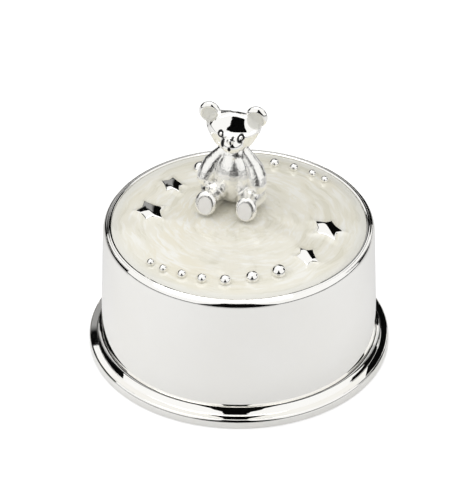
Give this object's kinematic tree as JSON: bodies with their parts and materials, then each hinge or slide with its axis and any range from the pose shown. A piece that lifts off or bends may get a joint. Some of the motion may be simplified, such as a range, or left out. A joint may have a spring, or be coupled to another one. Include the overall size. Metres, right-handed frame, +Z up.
{
  "type": "music box",
  "caption": "Round silver-plated music box on a stepped foot; the drum turns with a seated teddy bear on its pearly enamelled lid while the wind-up movement inside plays.",
  "frame": {"origin": "the middle of the foot, at the level of the table", "axes": "+Z up along the drum's axis, the bear faces -Y"},
  "size_m": [0.09, 0.09, 0.0771],
  "materials": {
    "silver_plate": "polished silver plate on a zinc casting",
    "enamel": "pearly cream cold enamel, glossy",
    "brass": "turned brass",
    "steel": "plain steel",
    "blued_steel": "blued spring steel",
    "zinc_plate": "zinc-plated, satin",
    "vane_plastic": "moulded, matt"
  },
  "bodies": {
    "base": {"foot_ring": "silver_plate", "bottom_plate": "zinc_plate", "bottom_plate_screw_1": "steel", "bottom_plate_screw_2": "steel", "bottom_plate_screw_3": "steel", "bedplate": "zinc_plate", "bedplate_screw_1": "steel", "bedplate_screw_2": "steel", "bedplate_screw_3": "steel", "arbor_bush": "brass", "clutch_spring": "steel", "cylinder_bracket_inner": "zinc_plate", "cylinder_bracket_outer": "zinc_plate", "bracket_screw_inner": "steel", "bracket_screw_outer": "steel", "comb_base": "zinc_plate", "comb": "steel", "comb_screw_1": "blued_steel", "comb_screw_2": "blued_steel", "governor_frame": "zinc_plate", "governor_screw": "steel"},
    "winder": {"winding_key": "brass", "winding_arbor": "steel"},
    "drum": {"drum_shell": "silver_plate", "top_plate": "silver_plate", "enamel_inlay": "enamel", "teddy_bear": "silver_plate", "bear_screw": "steel", "drive_hub": "brass", "hub_screw_1": "steel", "hub_screw_2": "steel", "hub_screw_3": "steel", "hub_grub_screw": "steel", "barrel": "brass", "barrel_cover": "brass", "crown_gear": "brass", "mainspring": "blued_steel"},
    "cylinder": {"pinned_cylinder": "brass", "cylinder_disc_inner": "brass", "cylinder_disc_outer": "brass", "cylinder_shaft": "steel", "cylinder_pinion": "steel", "cylinder_gear": "brass"},
    "governor": {"governor_shaft": "steel", "governor_pinion": "brass", "governor_wheel": "brass"},
    "fly": {"worm_shaft": "steel", "fly_vanes": "vane_plastic"}
  },
  "joints": [
    {"name": "drum_spin", "type": "hinge", "parent": "base", "child": "drum", "pos_m": [0, 0, 0], "axis": [0, 0, 1], "continuous": true},
    {"name": "key_spin", "type": "hinge", "parent": "base", "child": "winder", "pos_m": [0, 0, 0], "axis": [0, 0, 1], "continuous": true},
    {"name": "cylinder_spin", "type": "hinge", "parent": "base", "child": "cylinder", "pos_m": [0, 0, 0.02995], "axis": [1, 0, 0], "continuous": true},
    {"name": "governor_spin", "type": "hinge", "parent": "base", "child": "governor", "pos_m": [0, 0.00693, 0.02595], "axis": [1, 0, 0], "continuous": true},
    {"name": "fly_spin", "type": "hinge", "parent": "base", "child": "fly", "pos_m": [0.03312, 0.01133, 0], "axis": [0, 0, 1], "continuous": true}
  ],
  "couplings": [
    {"joint": "cylinder_spin", "follows": "drum_spin", "ratio": 3},
    {"joint": "governor_spin", "follows": "drum_spin", "ratio": -9},
    {"joint": "fly_spin", "follows": "drum_spin", "ratio": 72}
  ]
}
